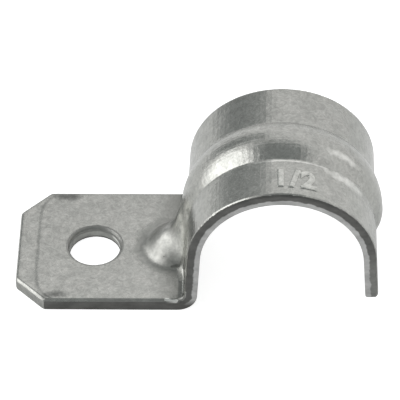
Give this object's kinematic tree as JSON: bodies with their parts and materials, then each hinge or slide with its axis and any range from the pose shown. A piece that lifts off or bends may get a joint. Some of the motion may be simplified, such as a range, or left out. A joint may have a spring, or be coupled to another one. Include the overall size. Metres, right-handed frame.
{
  "type": "conduit strap",
  "caption": "One-hole strap for a round conduit: flat foot with a fixing hole, gusseted fold, and an arched strip with a free leg, stiffened by an embossed rib.",
  "frame": {"origin": "centre of the fixing hole, on the foot's underside", "axes": "+X along the strap from the hole to the conduit seat, +Y along the conduit, +Z away from the wall"},
  "size_m": [0.0488, 0.0206, 0.0221],
  "materials": {
    "galvanised_steel": "satin zinc coating, finely mottled"
  },
  "bodies": {
    "root": {"conduit_strap": "galvanised_steel"}
  },
  "joints": []
}
